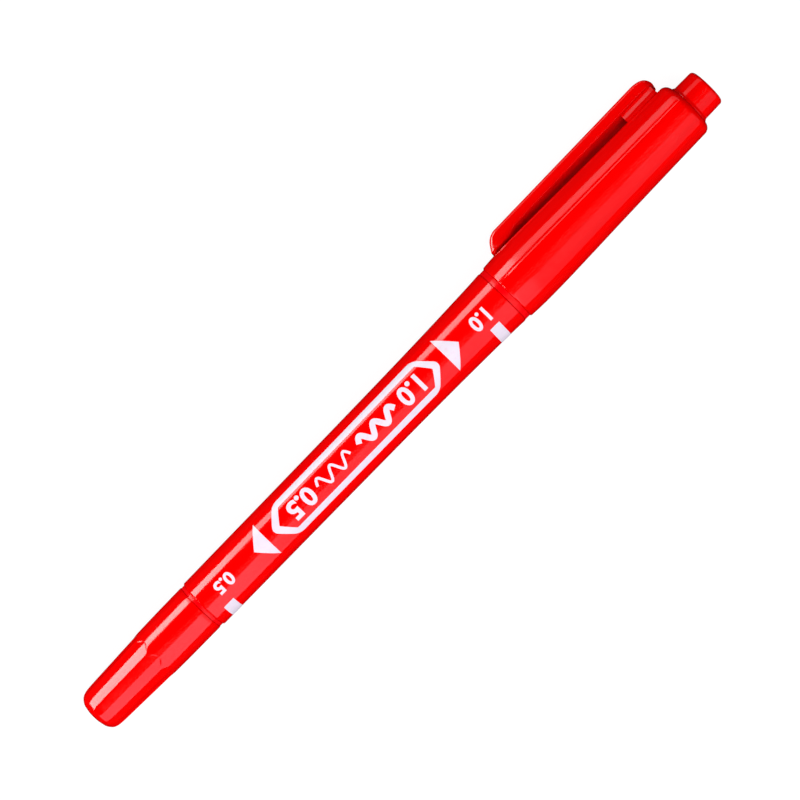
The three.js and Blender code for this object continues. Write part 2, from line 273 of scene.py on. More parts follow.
def rounded(corners, steps=4):
    """An outline whose (x, radius, rounding) corners are replaced by arcs of that rounding."""
    out = []
    last = len(corners) - 1
    for i, corner in enumerate(corners):
        x, r, rounding = corner
        if rounding == 0 or i in (0, last):
            out.append((x, r))
            continue
        here = Vector((x, r))
        back = Vector(corners[i - 1][:2]) - here
        ahead = Vector(corners[i + 1][:2]) - here
        half = back.angle(ahead) / 2
        reach = min(rounding / math.tan(half), back.length * 0.49, ahead.length * 0.49)
        back.normalize()
        ahead.normalize()
        centre = here + (back + ahead).normalized() * (reach / math.cos(half))
        start = here + back * reach - centre
        end = here + ahead * reach - centre
        turn = start.angle_signed(end)
        for k in range(steps + 1):
            arm = start.copy()
            angle = -turn * k / steps
            c, s = math.cos(angle), math.sin(angle)
            out.append((centre.x + arm.x * c - arm.y * s, centre.y + arm.x * s + arm.y * c))
    return out


def nothing_selected():
    """Object mode with nothing selected, so that the next operator acts on its own piece alone."""
    if bpy.context.object and bpy.context.object.mode != "OBJECT":
        bpy.ops.object.mode_set(mode="OBJECT")
    bpy.ops.object.select_all(action="DESELECT")


def name_piece(name):
    """Names the piece just added, and puts its place into its mesh."""
    piece = bpy.context.object
    piece.name = name
    piece.data.name = name
    bpy.ops.object.transform_apply(location=True, rotation=True, scale=True)
    return piece


def select_where(piece, domain, test):
    """Selects, in edit mode, the faces or vertices that pass a test, and nothing else."""
    bpy.ops.mesh.select_mode(type={"faces": "FACE", "verts": "VERT", "edges": "EDGE"}[domain])
    bpy.ops.mesh.select_all(action="DESELECT")
    mesh = bmesh.from_edit_mesh(piece.data)
    for element in getattr(mesh, domain):
        if test(element):
            element.select_set(True)
    bmesh.update_edit_mesh(piece.data)


def turn(name, outline, around):
    """Turns an outline of (x, radius) points about the pen's axis.

    A ring is extruded from point to point and resized at each. An outline starts and ends on the
    axis, or ends where it started.
    """
    nothing_selected()
    closed_start = outline[0][1] == 0
    points = outline[1:] if closed_start else outline
    x, r = points[0]
    bpy.ops.mesh.primitive_circle_add(
        vertices=around,
        radius=r * MM,
        fill_type="TRIFAN" if closed_start else "NOTHING",
        location=(x * MM, 0, 0),
        rotation=(0, math.pi / 2, 0),
    )
    piece = name_piece(name)
    bpy.ops.object.mode_set(mode="EDIT")
    if closed_start:
        select_where(piece, "edges", lambda edge: edge.is_boundary)
    else:
        bpy.ops.mesh.select_all(action="SELECT")
    for next_x, next_r in points[1:]:
        bpy.ops.mesh.extrude_region_move(
            TRANSFORM_OT_translate={"value": ((next_x - x) * MM, 0, 0)}
        )
        if next_r == 0:
            bpy.ops.mesh.merge(type="CENTER")
            break
        grow = next_r / r
        if abs(grow - 1) > 1e-9:
            bpy.ops.transform.resize(
                value=(1, grow, grow), center_override=(next_x * MM, 0, 0)
            )
        x, r = next_x, next_r
    weld(piece)
    return piece


def weld(piece):
    """Merges coincident points, points every face outwards and leaves edit mode."""
    bpy.ops.mesh.select_mode(type="VERT")
    bpy.ops.mesh.select_all(action="SELECT")
    bpy.ops.mesh.remove_doubles(threshold=1e-7)
    bpy.ops.mesh.normals_make_consistent(inside=False)
    bpy.ops.object.mode_set(mode="OBJECT")


def set_down(piece, turned=-ROLL):
    """Turns a piece about the pen's axis, as a rule on to the clip's edge, and lays it down."""
    nothing_selected()
    piece.select_set(True)
    bpy.context.view_layer.objects.active = piece
    piece.rotation_euler = (turned, 0, 0)
    piece.location = (SMALL_END, AXIS_Y, AXIS_Z)
    bpy.ops.object.transform_apply(location=True, rotation=True, scale=True)


def smooth(piece, degrees=28):
    """Smooth shading that keeps edges sharper than the given angle."""
    nothing_selected()
    piece.select_set(True)
    bpy.context.view_layer.objects.active = piece
    bpy.ops.object.shade_smooth_by_angle(angle=math.radians(degrees))


def finish_piece(piece, material, body=None, node=None):
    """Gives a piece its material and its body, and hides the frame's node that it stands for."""
    piece.data.materials.clear()
    piece.data.materials.append(material)
    if body:
        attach(piece, body)
    if node:
        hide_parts(node)


# ---- Materials --------------------------------------------------------------------------------


class Shader:
    """A material's node tree, with the pattern on the piece's own Object coordinates."""

    def __init__(self, name):
        self.material = bpy.data.materials.new(name)
        self.material.use_nodes = True
        self.tree = self.material.node_tree
        self.surface = self.tree.nodes["Principled BSDF"]
        self.object_space = self.add("ShaderNodeTexCoord").outputs["Object"]

    def add(self, kind, **settings):
        node = self.tree.nodes.new(kind)
        for key, value in settings.items():
            setattr(node, key, value)
        return node

    def join(self, output, socket):
        self.tree.links.new(output, socket)

    def set(self, **values):
        for key, value in values.items():
            self.surface.inputs[key.replace("_", " ")].default_value = value

    def stretched(self, scale):
        """Object coordinates scaled by (x, y, z) features per metre."""
        mapping = self.add("ShaderNodeMapping")
        mapping.inputs["Scale"].default_value = scale
        self.join(self.object_space, mapping.inputs["Vector"])
        return mapping.outputs["Vector"]

    def noise(self, scale, detail=3.0, roughness=0.55, distortion=0.0):
        texture = self.add("ShaderNodeTexNoise")
        texture.inputs["Scale"].default_value = 1.0
        texture.inputs["Detail"].default_value = detail
        texture.inputs["Roughness"].default_value = roughness
        texture.inputs["Distortion"].default_value = distortion
        self.join(self.stretched(scale), texture.inputs["Vector"])
        return texture.outputs["Fac"]

    def ramp(self, value, low, high, start=0.3, end=0.7):
        """Maps a 0 to 1 pattern to the range from low to high."""
        remap = self.add("ShaderNodeMapRange")
        remap.inputs["From Min"].default_value = start
        remap.inputs["From Max"].default_value = end
        remap.inputs["To Min"].default_value = low
        remap.inputs["To Max"].default_value = high
        self.join(value, remap.inputs["Value"])
        return remap.outputs["Result"]

    def blend_colours(self, factor, colour_a, colour_b):
        mix = self.add("ShaderNodeMix", data_type="RGBA")
        mix.inputs["A"].default_value = (*colour_a[:3], 1)
        mix.inputs["B"].default_value = (*colour_b[:3], 1)
        self.join(factor, mix.inputs["Factor"])
        return mix.outputs["Result"]

    def bump(self, height, strength, distance, under=None):
        bump = self.add("ShaderNodeBump")
        bump.inputs["Strength"].default_value = strength
        bump.inputs["Distance"].default_value = distance
        self.join(height, bump.inputs["Height"])
        if under:
            self.join(under, bump.inputs["Normal"])
        return bump.outputs["Normal"]


def shaded(colour, factor):
    """A colour made darker or lighter."""
    return tuple(min(1.0, channel * factor) for channel in colour[:3])


def moulded_plastic(name, colour, roughness, waviness=0.06, coat=0.25, shine=0.5):
    """Glossy injection-moulded plastic: faint flow marks, sink waviness, scuffs and dull patches."""
    shader = Shader(name)
    flow = shader.noise((60, 900, 900), detail=3)
    shader.join(
        shader.blend_colours(
            shader.ramp(flow, 0, 1), shaded(colour, 0.93), shaded(colour, 1.04)
        ),
        shader.surface.inputs["Base Color"],
    )
    patches = shader.noise((160, 240, 240), detail=4)
    shader.join(
        shader.ramp(patches, roughness * 0.8, roughness * 1.35),
        shader.surface.inputs["Roughness"],
    )
    sink = shader.bump(shader.noise((45, 330, 330), detail=1), waviness, 0.0004)
    scuffs = shader.noise((240, 5200, 5200), detail=2, distortion=0.6)
    fine = shader.bump(shader.ramp(scuffs, 0, 1, 0.62, 0.74), 0.05, 0.00004, sink)
    shader.join(fine, shader.surface.inputs["Normal"])
    shader.set(Coat_Weight=coat, Coat_Roughness=0.05, Specular_IOR_Level=shine, IOR=1.49)
    return shader.material


def bonded_fibre(name, colour, dark):
    """Felt: dense fibres that run along the pen, soaked unevenly with ink."""
    shader = Shader(name)
    strands = shader.noise((700, 14000, 14000), detail=4, roughness=0.7)
    soak = shader.noise((300, 500, 500), detail=3)
    mixed = shader.add("ShaderNodeMath", operation="MULTIPLY_ADD")
    shader.join(strands, mixed.inputs[0])
    mixed.inputs[1].default_value = 0.6
    shader.join(shader.ramp(soak, 0.0, 0.5), mixed.inputs[2])
    shader.join(
        shader.blend_colours(mixed.outputs["Value"], dark, colour),
        shader.surface.inputs["Base Color"],
    )
    shader.join(shader.ramp(strands, 0.7, 0.95), shader.surface.inputs["Roughness"])
    shader.join(shader.bump(strands, 0.5, 0.00005), shader.surface.inputs["Normal"])
    shader.set(Sheen_Weight=0.3, Sheen_Roughness=0.5)
    return shader.material


def screen_ink(name, colour):
    """Screen-printed ink: nearly opaque, with the mesh's faint grain and a few thin places."""
    shader = Shader(name)
    thin = shader.noise((1500, 1500, 1500), detail=4)
    shader.join(
        shader.blend_colours(
            shader.ramp(thin, 0, 1, 0.25, 0.45),
            (colour[0], colour[1] * 0.86, colour[2] * 0.88),
            colour,
        ),
        shader.surface.inputs["Base Color"],
    )
    grain = shader.noise((9000, 9000, 9000), detail=1)
    shader.join(shader.ramp(grain, 0.3, 0.42), shader.surface.inputs["Roughness"])
    shader.join(shader.bump(grain, 0.15, 0.00001), shader.surface.inputs["Normal"])
    return shader.material


def waxy_liner(name, colour):
    """Natural polyethylene: waxy, slightly cloudy and translucent."""
    shader = Shader(name)
    cloud = shader.noise((220, 420, 420), detail=4)
    shader.join(
        shader.blend_colours(shader.ramp(cloud, 0, 1), shaded(colour, 0.9), colour),
        shader.surface.inputs["Base Color"],
    )
    shader.join(shader.ramp(cloud, 0.36, 0.52), shader.surface.inputs["Roughness"])
    shader.join(
        shader.bump(shader.noise((500, 2600, 2600), detail=2), 0.12, 0.00004),
        shader.surface.inputs["Normal"],
    )
    shader.set(Subsurface_Weight=0.2, Subsurface_Scale=0.001)
    return shader.material


def clear_film(name, colour):
    """Thin clear film, wrinkled along its length and tinted by the ink behind it."""
    shader = Shader(name)
    wrinkle = shader.noise((90, 1500, 1500), detail=3)
    shader.join(
        shader.blend_colours(shader.ramp(wrinkle, 0, 1), shaded(colour, 0.8), colour),
        shader.surface.inputs["Base Color"],
    )
    shader.join(shader.ramp(wrinkle, 0.12, 0.3), shader.surface.inputs["Roughness"])
    shader.join(shader.bump(wrinkle, 0.3, 0.0001), shader.surface.inputs["Normal"])
    shader.set(Transmission_Weight=0.6, IOR=1.5)
    return shader.material


def studio_paper(name, colour):
    """The pale floor: bright seamless paper with a very faint tooth."""
    shader = Shader(name)
    tooth = shader.noise((900, 900, 900), detail=3)
    shader.join(
        shader.blend_colours(tooth, shaded(colour, 0.095), shaded(colour, 0.105)),
        shader.surface.inputs["Base Color"],
    )
    # Seen directly, the paper is as bright as a lit backdrop; its bounce on to the pen is weaker.
    rays = shader.add("ShaderNodeLightPath")
    shader.join(
        shader.ramp(rays.outputs["Is Camera Ray"], 0.45, 0.98, 0, 1),
        shader.surface.inputs["Emission Strength"],
    )
    shader.set(Roughness=0.9, Specular_IOR_Level=0.0, Emission_Color=(*colour[:3], 1))
    return shader.material


# ---- Sizes and colours that a user would change --------------------------------------------


def length(name, description, millimetres):
    """A size in Blender's metres, from its default in millimetres."""
    return bpy.props.FloatProperty(
        name=name,
        description=description,
        default=millimetres * MM,
        min=0.0,
        precision=5,
        subtype="DISTANCE",
        unit="LENGTH",
    )


def colour(name, description, rgb):
    """A colour with its default."""
    return bpy.props.FloatVectorProperty(
        name=name, description=description, default=rgb, size=3, min=0.0, max=1.0, subtype="COLOR"
    )


class MarkerSizes(bpy.types.PropertyGroup):
    clip_width: length("Clip Width", "Width of the clip, across the pen", 4.8)
    clip_thickness: length("Clip Thickness", "Thickness of the clip's arm", 2.08)
    clip_edge: length("Clip Edge", "Rounding of the clip's long edges", 0.6)
    parting_ridge: length("Parting Ridge", "Height of the ridge where the mould's halves met", 0.035)
    flat_depth: bpy.props.FloatProperty(
        name="Flat Depth", description="0 leaves the small cap round, 1 makes its flats flat",
        default=0.78, min=0.0, max=1.0, subtype="FACTOR",
    )
    print_height: length("Print Height", "Thickness of the printed ink", 0.02)
    frame_line: length("Frame Line", "Width of the printed frame's long lines", 0.93)
    numeral_height: length("Numeral Height", "Height of the numerals inside the printed frame", 3.3)
    flats: bpy.props.IntProperty(
        name="Flats", description="Number of finger flats on the small cap", default=8, min=3
    )


class MarkerColours(bpy.types.PropertyGroup):
    shell: colour("Shell", "Glossy plastic of the barrel and both caps", (0.76, 0.0, 0.0))
    holder: colour("Nib Holder", "Plastic of the nib holders", (0.74, 0.0, 0.002))
    felt: colour("Felt", "Nibs and fibre bundle where the ink is thin", (0.62, 0.015, 0.02))
    felt_soaked: colour("Soaked Felt", "Nibs and fibre bundle full of ink", (0.2, 0.0, 0.006))
    print_ink: colour("Print", "Ink of the marks on the barrel", (0.64, 0.575, 0.65))
    liner: colour("Liner", "Soft cups inside the caps", (0.86, 0.84, 0.8))
    film: colour("Film", "Sleeve round the fibre bundle", (0.86, 0.55, 0.55))
    floor: colour("Floor", "Seamless paper under the pen", (0.95, 0.95, 0.95))


def material(name):
    """The named finish, made once."""
    if name in bpy.data.materials:
        return bpy.data.materials[name]
    colours = bpy.context.scene.marker_colours
    makers = {
        "glossy_shell": lambda: moulded_plastic(name, colours.shell, 0.09),
        "satin_holder": lambda: moulded_plastic(name, colours.holder, 0.16, coat=0.0, shine=0.25),
        "inked_felt": lambda: bonded_fibre(name, colours.felt, colours.felt_soaked),
        "white_print": lambda: screen_ink(name, tuple(colours.print_ink)),
        "waxy_liner": lambda: waxy_liner(name, colours.liner),
        "clear_film": lambda: clear_film(name, colours.film),
        "studio_paper": lambda: studio_paper(name, colours.floor),
    }
    return makers[name]()


# ---- Pieces -----------------------------------------------------------------------------------


class MARKER_OT_barrel(bpy.types.Operator):
    """Builds the barrel: a flared tube with chamfered rims"""

    bl_idname = "marker.barrel"
    bl_label = "Barrel"

    def execute(self, context):
        side = eased(BARREL_SIDE, 0.8)
        rim_start = [(BARREL_START, 3.6), (BARREL_START, 4.33), (BARREL_START + 0.03, 4.4)]
        rim_end = [(BARREL_END - 0.03, 5.14), (BARREL_END, 5.06), (BARREL_END, 4.2)]
        bore = [(84.2, 4.2), (34.0, 3.6), (BARREL_START, 3.6)]
        piece = turn("barrel_tube", rim_start + side + rim_end + bore, 160)
        set_down(piece)
        smooth(piece)
        finish_piece(piece, material("glossy_shell"), "barrel", "barrel")
        return {"FINISHED"}


class MARKER_OT_large_cap(bpy.types.Operator):
    """Builds the large cap's shell, with the fine ridge that its mould's halves leave"""

    bl_idname = "marker.large_cap"
    bl_label = "Large Cap"

    def execute(self, context):
        ridge = context.scene.marker_sizes.parting_ridge / MM
        mouth = LARGE_CAP_MOUTH
        rim = rounded(
            [(mouth, 4.55, 0), (mouth, 5.2, 0.08), (mouth + 0.18, 5.37, 0.08), (mouth + 0.5, 5.4, 0)]
        )[:-1]
        shoulder = rounded(
            [(133.0, 5.04, 0), (LARGE_CAP_END, 5.0, 1.25), (LARGE_CAP_END, 2.5, 0)], 9
        )[1:]
        inside = [(133.0, 2.5), (133.0, 4.22), (102.2, 4.45), (101.8, 4.55), (mouth, 4.55)]
        piece = turn(
            "large_cap_shell", rim + eased(LARGE_CAP_SIDE[1:], 0.8) + shoulder + inside, 240
        )
        # A hair-fine ridge runs along each side, where the mould's halves met.
        for vertex in piece.data.vertices:
            x, y, z = vertex.co / MM
            r = math.hypot(y, z)
            off_line = math.atan2(y, z) + PARTING_TURN
            on_line = abs(math.sin(off_line)) < 0.01
            if on_line and r > PARTING_LEAST and PARTING_START < x < PARTING_END:
                vertex.co.y *= 1 + ridge / r
                vertex.co.z *= 1 + ridge / r
        set_down(piece)
        smooth(piece)
        finish_piece(piece, material("glossy_shell"), "fine_cap", "fine_cap_shell")
        return {"FINISHED"}


class MARKER_OT_knob(bpy.types.Operator):
    """Builds the hollow knob that plugs the large cap's end"""

    bl_idname = "marker.knob"
    bl_label = "Knob"

    def execute(self, context):
        face = LARGE_CAP_END + 0.03
        outside = rounded(
            [
                (face, 2.4, 0),
                (face, 3.72, 0.05),
                (face + 0.14, 3.72, 0.1),
                (face + 0.5, 3.47, 0.4),
                (PEN_END, 3.42, 0.62),
                (PEN_END, 2.2, 0.05),
                (PEN_END - 0.05, 2.1, 0.05),
                (PEN_END - 0.05, 0, 0),
            ],
            6,
        )
        inside = [(PEN_END - 1.3, 0), (PEN_END - 1.3, 1.7), (132.2, 1.7), (132.2, 2.4)]
        piece = turn("knob", inside + outside, 128)
        set_down(piece)
        smooth(piece)
        finish_piece(piece, material("glossy_shell"), "fine_cap", "cap_end_plug")
        return {"FINISHED"}


class MARKER_OT_clip(bpy.types.Operator):
    """Builds the clip: a rounded bar, its nose curled in, its web reaching down into the cap"""

    bl_idname = "marker.clip"
    bl_label = "Clip"

    def execute(self, context):
        sizes = context.scene.marker_sizes
        thick = sizes.clip_thickness
        outer = {"head": CLIP_HEAD_OUT * MM, "nose": CLIP_NOSE_OUT * MM}
        piece = self.section(sizes, outer["head"] - thick / 2)
        self.head_end(outer["head"] - thick + 0.18 * MM)
        select_where(piece, "edges", lambda edge: edge.is_boundary)
        x = CLIP_HEAD * MM
        drop = (outer["nose"] - outer["head"]) / (CLIP_HEAD - CLIP_NOSE) / MM
        for station in CLIP_STATIONS:
            step = station * MM - x
            bpy.ops.mesh.extrude_region_move(
                TRANSFORM_OT_translate={"value": (step, -drop * step, 0)}
            )
            x = station * MM
        self.nose(outer["nose"], thick)
        self.web(piece, outer["head"] - thick)
        weld(piece)
        self.shape_sides(piece, outer, thick)
        set_down(piece)
        smooth(piece, 40)
        finish_piece(piece, material("glossy_shell"), node="clip_arm")
        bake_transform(piece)
        return {"FINISHED"}

    def section(self, sizes, centre):
        """A rounded rectangle across the pen, where the clip's head meets its arm."""
        nothing_selected()
        bpy.ops.mesh.primitive_plane_add(
            size=1, location=(CLIP_HEAD * MM, centre, 0), rotation=(0, math.pi / 2, 0)
        )
        bpy.context.object.scale = (sizes.clip_width, sizes.clip_thickness, 1)
        piece = name_piece("clip")
        bpy.ops.object.mode_set(mode="EDIT")
        bpy.ops.mesh.select_all(action="SELECT")
        for rounding, outer_side in ((sizes.clip_edge, True), (sizes.clip_edge * 0.5, False)):
            select_where(
                piece,
                "verts",
                lambda vertex: (vertex.co.y > centre) == outer_side
                and abs(vertex.co.z) > sizes.clip_width / 2 - MM / 100
                and abs(abs(vertex.co.y - centre) - sizes.clip_thickness / 2) < MM / 100,
            )
            bpy.ops.mesh.bevel(offset=rounding, segments=7, affect="VERTICES")
        bpy.ops.mesh.select_mode(type="FACE")
        bpy.ops.mesh.select_all(action="SELECT")
        bpy.ops.mesh.delete(type="ONLY_FACE")
        bpy.ops.mesh.select_mode(type="EDGE")
        bpy.ops.mesh.select_all(action="SELECT")
        return piece

    def head_end(self, low):
        """Carries the section on beyond the web, its outer face falling to its inner one."""
        x, tall, wide = CLIP_HEAD * MM, 1.0, 1.0
        steps = 14
        for k in range(1, steps):
            turned = math.radians(90 * k / steps)
            next_x = (CLIP_HEAD + 3.0 * math.sin(turned)) * MM
            next_tall = math.cos(turned) ** 0.85
            next_wide = 1 - 0.45 * math.sin(turned) ** 7
            bpy.ops.mesh.extrude_region_move(
                TRANSFORM_OT_translate={"value": (next_x - x, 0, 0)}
            )
            bpy.ops.transform.resize(
                value=(1, next_tall / tall, next_wide / wide), center_override=(next_x, low, 0)
            )
            x, tall, wide = next_x, next_tall, next_wide
        bpy.ops.mesh.extrude_region_move(TRANSFORM_OT_translate={"value": (0.03 * MM, 0, 0)})
        bpy.ops.mesh.merge(type="CENTER")

    def nose(self, outer, thick):
        """Curls the arm's end in towards the cap and thins it to a rounded tip."""
        pivot = Vector((CLIP_NOSE * MM, NOSE_PIVOT * MM, 0))
        bpy.ops.mesh.spin(steps=12, angle=-NOSE_CURL, center=pivot, axis=(0, 0, 1))
        outward = Vector((-math.sin(NOSE_CURL), math.cos(NOSE_CURL), 0))
        onward = Vector((-math.cos(NOSE_CURL), -math.sin(NOSE_CURL), 0))
        edge = pivot + outward * (outer - pivot.y)
        straight, steps = NOSE_STRAIGHT * MM, 6
        scale = 1.0
        for k in range(1, steps + 1):
            bpy.ops.mesh.extrude_region_move(
                TRANSFORM_OT_translate={"value": onward * (straight / steps)}
            )
            edge = edge + onward * (straight / steps)
            next_scale = 1 - (1 - NOSE_THINNING) * (k / steps) ** 0.9
            grow = next_scale / scale
            bpy.ops.transform.resize(value=(grow, grow, 1), center_override=edge)
            scale = next_scale
        middle = edge - outward * (thick * NOSE_THINNING / 2)
        for forward, size in ((0.1, 0.85), (0.07, 0.6), (0.03, 0.25)):
            bpy.ops.mesh.extrude_region_move(
                TRANSFORM_OT_translate={"value": onward * (forward * MM)}
            )
            middle = middle + onward * (forward * MM)
            bpy.ops.transform.resize(
                value=(size, size, 1 - (1 - size) * 0.2), center_override=middle
            )
        bpy.ops.mesh.edge_face_add()

    def shape_sides(self, piece, outer, thick):
        """Drafts the sides, fills the nose's inner side towards the cap and narrows its tip."""
        fill_start, fill_end = NOSE_FILL_START * MM, NOSE_FILL_END * MM
        for vertex in piece.data.vertices:
            along = (vertex.co.x / MM - CLIP_NOSE) / (CLIP_HEAD - CLIP_NOSE)
            face = outer["nose"] + (outer["head"] - outer["nose"]) * min(1.0, max(0.0, along))
            depth = min(1.0, max(0.0, (face - vertex.co.y) / thick))
            vertex.co.z *= 1 - CLIP_DRAFT * depth
            fill = min(1.0, max(0.0, (fill_start - vertex.co.x) / (fill_start - fill_end)))
            inside = max(0.0, depth * 2 - 1)
            if fill > 0 and vertex.co.x > NOSE_FILL_LEAST * MM:
                floor = NOSE_FLOOR * MM + 0.1 * MM * (1 - inside)
                wanted = vertex.co.y - inside * fill * fill * (3 - 2 * fill) * 0.85 * MM
                vertex.co.y = max(min(vertex.co.y, floor), wanted)
            share = (CLIP_NOSE * MM - vertex.co.x) / (NOSE_LENGTH * MM)
            if share > 0:
                vertex.co.z *= 1 - 0.2 * min(1.0, share) ** 3

    def web(self, piece, inner):
        """Extrudes the inner face above the cap down into the cap's wall, wider at its foot."""
        slack = 0.45 * MM

        def over_cap(face):
            middle = face.calc_center_median()
            level = abs(face.normal.y) > 0.96 and abs(middle.y - inner) < slack
            return level and WEB_START * MM < middle.x < WEB_END * MM

        select_where(piece, "faces", over_cap)
        depth = inner
        for foot, widen in WEB_STEPS:
            bpy.ops.mesh.extrude_region_move(
                TRANSFORM_OT_translate={"value": (0, foot * MM - depth, 0)}
            )
            bpy.ops.transform.resize(
                value=(1, 1, widen), center_override=(WEB_MIDDLE * MM, foot * MM, 0)
            )
            depth = foot * MM


class MARKER_OT_small_cap(bpy.types.Operator):
    """Builds the small cap, with its ring of ridged finger flats and their arched ends"""

    bl_idname = "marker.small_cap"
    bl_label = "Small Cap"

    def execute(self, context):
        sizes = context.scene.marker_sizes
        side = eased(SMALL_CAP_SIDE, 0.1)
        gripped = [(x, r) for x, r in side if x < GRIP_END]
        plain = [(x, r) for i, (x, r) in enumerate(side) if x >= GRIP_END and i % 6 == 0]
        mouth = SMALL_CAP_MOUTH
        rim = [(mouth - 0.16, 4.41), (mouth - 0.03, 4.36), (mouth, 4.27), (mouth, 3.6)]
        rim.append((mouth - 0.1, 3.52))
        inside = [(17.4, 3.52), (16.2, 2.9), (2.0, 2.9), (2.0, 0)]
        outline = [(0, 0), (0, 0.8), (0.02, 1.3)] + gripped + plain + rim + inside
        piece = turn("small_cap_shell", outline, 32 * sizes.flats)
        self.sink_flats(piece, sizes)
        set_down(piece, FLAT_TURN)
        smooth(piece)
        finish_piece(piece, material("glossy_shell"), "extra_fine_cap", "extra_fine_cap_shell")
        return {"FINISHED"}

    def sink_flats(self, piece, sizes):
        """Presses the closed half in to its flats, each with a low ridge and an arched end."""
        half = math.pi / sizes.flats
        for vertex in piece.data.vertices:
            x, y, z = vertex.co / MM
            r = math.hypot(y, z)
            on_inside = r < 3.05 and x > 1.2
            if x > GRIP_END or on_inside or r < 1e-6:
                continue
            around = (math.atan2(-y, z) + half) % (2 * half) - half
            across = math.cos(half - FLAT_LEAN) / math.cos(abs(around) - FLAT_LEAN)
            sink = sizes.flat_depth * (1 - across)
            reach = FLAT_END + FLAT_ARCH * (1 - (around / half) ** 2)
            fade = min(1.0, max(0.0, (reach + FLAT_STEP - x) / FLAT_STEP))
            sink *= fade * fade * (3 - 2 * fade) * min(1.0, x / 0.8)
            vertex.co.y *= 1 - sink
            vertex.co.z *= 1 - sink


class MARKER_OT_holders(bpy.types.Operator):
    """Builds the two nib holders: plug, collar, seat with its snap bead, cone and nose"""

    bl_idname = "marker.holders"
    bl_label = "Nib Holders"

    def execute(self, context):
        fine = [
            (84.32, 3.2, 0), (84.32, 3.9, 0.1), (84.82, 4.1, 0.1), (93.22, 4.1, 0),
            (93.22, 5.14, 0.04), (94.17, 5.14, 0.04), (94.17, 4.42, 0), (97.0, 4.42, 0.2),
            (97.35, 4.5, 0.2), (97.95, 4.5, 0.2), (98.3, 4.42, 0.2), (100.6, 4.42, 0.3),
            (101.4, 4.0, 0.4), (106.4, 2.7, 1.2), (110.6, 2.66, 0.7), (112.4, 1.78, 0.25),
            (112.4, 1.36, 0.06), (98.5, 1.36, 0), (97.0, 3.2, 0.3), (84.32, 3.2, 0),
        ]
        extra_fine = [
            (33.83, 2.6, 0), (33.83, 3.3, 0.1), (33.33, 3.5, 0.1), (24.93, 3.5, 0),
            (24.93, 4.31, 0.04), (24.33, 4.31, 0.04), (24.33, 3.4, 0), (21.5, 3.4, 0.2),
            (21.2, 3.47, 0.2), (20.7, 3.47, 0.2), (20.4, 3.4, 0.2), (18.3, 3.4, 0.25),
            (17.6, 3.0, 0.3), (14.2, 2.0, 0.8), (11.6, 1.97, 0.5), (8.3, 0.98, 0.15),
            (8.3, 0.65, 0.04), (22.5, 0.65, 0), (24.0, 2.6, 0.3), (33.83, 2.6, 0),
        ]
        for name, corners, node in (
            ("fine_holder", fine, "fine_nib_holder"),
            ("extra_fine_holder", extra_fine, "extra_fine_nib_holder"),
        ):
            piece = turn(name, rounded(corners, 5), 128)
            set_down(piece)
            smooth(piece)
            finish_piece(piece, material("satin_holder"), "barrel", node)
        return {"FINISHED"}


class MARKER_OT_nibs(bpy.types.Operator):
    """Builds the two fibre nibs, each tapered to a rounded point"""

    bl_idname = "marker.nibs"
    bl_label = "Nibs"

    def execute(self, context):
        fine = [(76, 0, 0), (76, 1.3, 0.15), (113.7, 1.3, 0.8), (117.1, 0.5, 0.48), (117.1, 0, 0)]
        extra_fine = [(41, 0, 0), (41, 0.6, 0.1), (7.5, 0.6, 0.5), (5.9, 0.26, 0.24), (5.9, 0, 0)]
        for name, corners, node in (
            ("fine_felt", fine, "fine_nib"),
            ("extra_fine_felt", extra_fine, "extra_fine_nib"),
        ):
            piece = turn(name, rounded(corners, 7), 64)
            set_down(piece)
            smooth(piece, 40)
            finish_piece(piece, material("inked_felt"), "barrel", node)
        return {"FINISHED"}


class MARKER_OT_liners(bpy.types.Operator):
    """Builds the soft cups inside the caps, which close over the nib holders"""

    bl_idname = "marker.liners"
    bl_label = "Liners"

    def execute(self, context):
        large = [
            (131.8, 0, 0), (131.8, 4.1, 0.1), (130.2, 4.1, 0.2), (130.0, 3.7, 0.2),
            (106.0, 3.7, 0.3), (105.6, 3.45, 0.1), (105.6, 3.15, 0.1), (106.0, 3.0, 0.2),
            (130.5, 3.0, 0.5), (130.5, 0, 0),
        ]
        small = [
            (2.3, 0, 0), (2.3, 2.8, 0.2), (13.4, 2.8, 0.2), (13.7, 2.6, 0.1), (13.7, 2.3, 0.08),
            (13.4, 2.12, 0.2), (3.6, 2.12, 0.4), (3.6, 0, 0),
        ]
        for name, corners, body, node in (
            ("large_cap_liner", large, "fine_cap", "fine_cap_liner"),
            ("small_cap_liner", small, "extra_fine_cap", "extra_fine_cap_liner"),
        ):
            piece = turn(name, rounded(corners, 5), 96)
            set_down(piece)
            smooth(piece)
            finish_piece(piece, material("waxy_liner"), body, node)
        return {"FINISHED"}


class MARKER_OT_ink_store(bpy.types.Operator):
    """Finishes the fibre bundle and its film, which stay as the frame has them"""

    bl_idname = "marker.ink_store"
    bl_label = "Ink Store"

    def execute(self, context):
        for node, finish in (("ink_reservoir", "inked_felt"), ("reservoir_film", "clear_film")):
            for slot in frame["nodes"][node].material_slots:
                slot.material = material(finish)
        return {"FINISHED"}


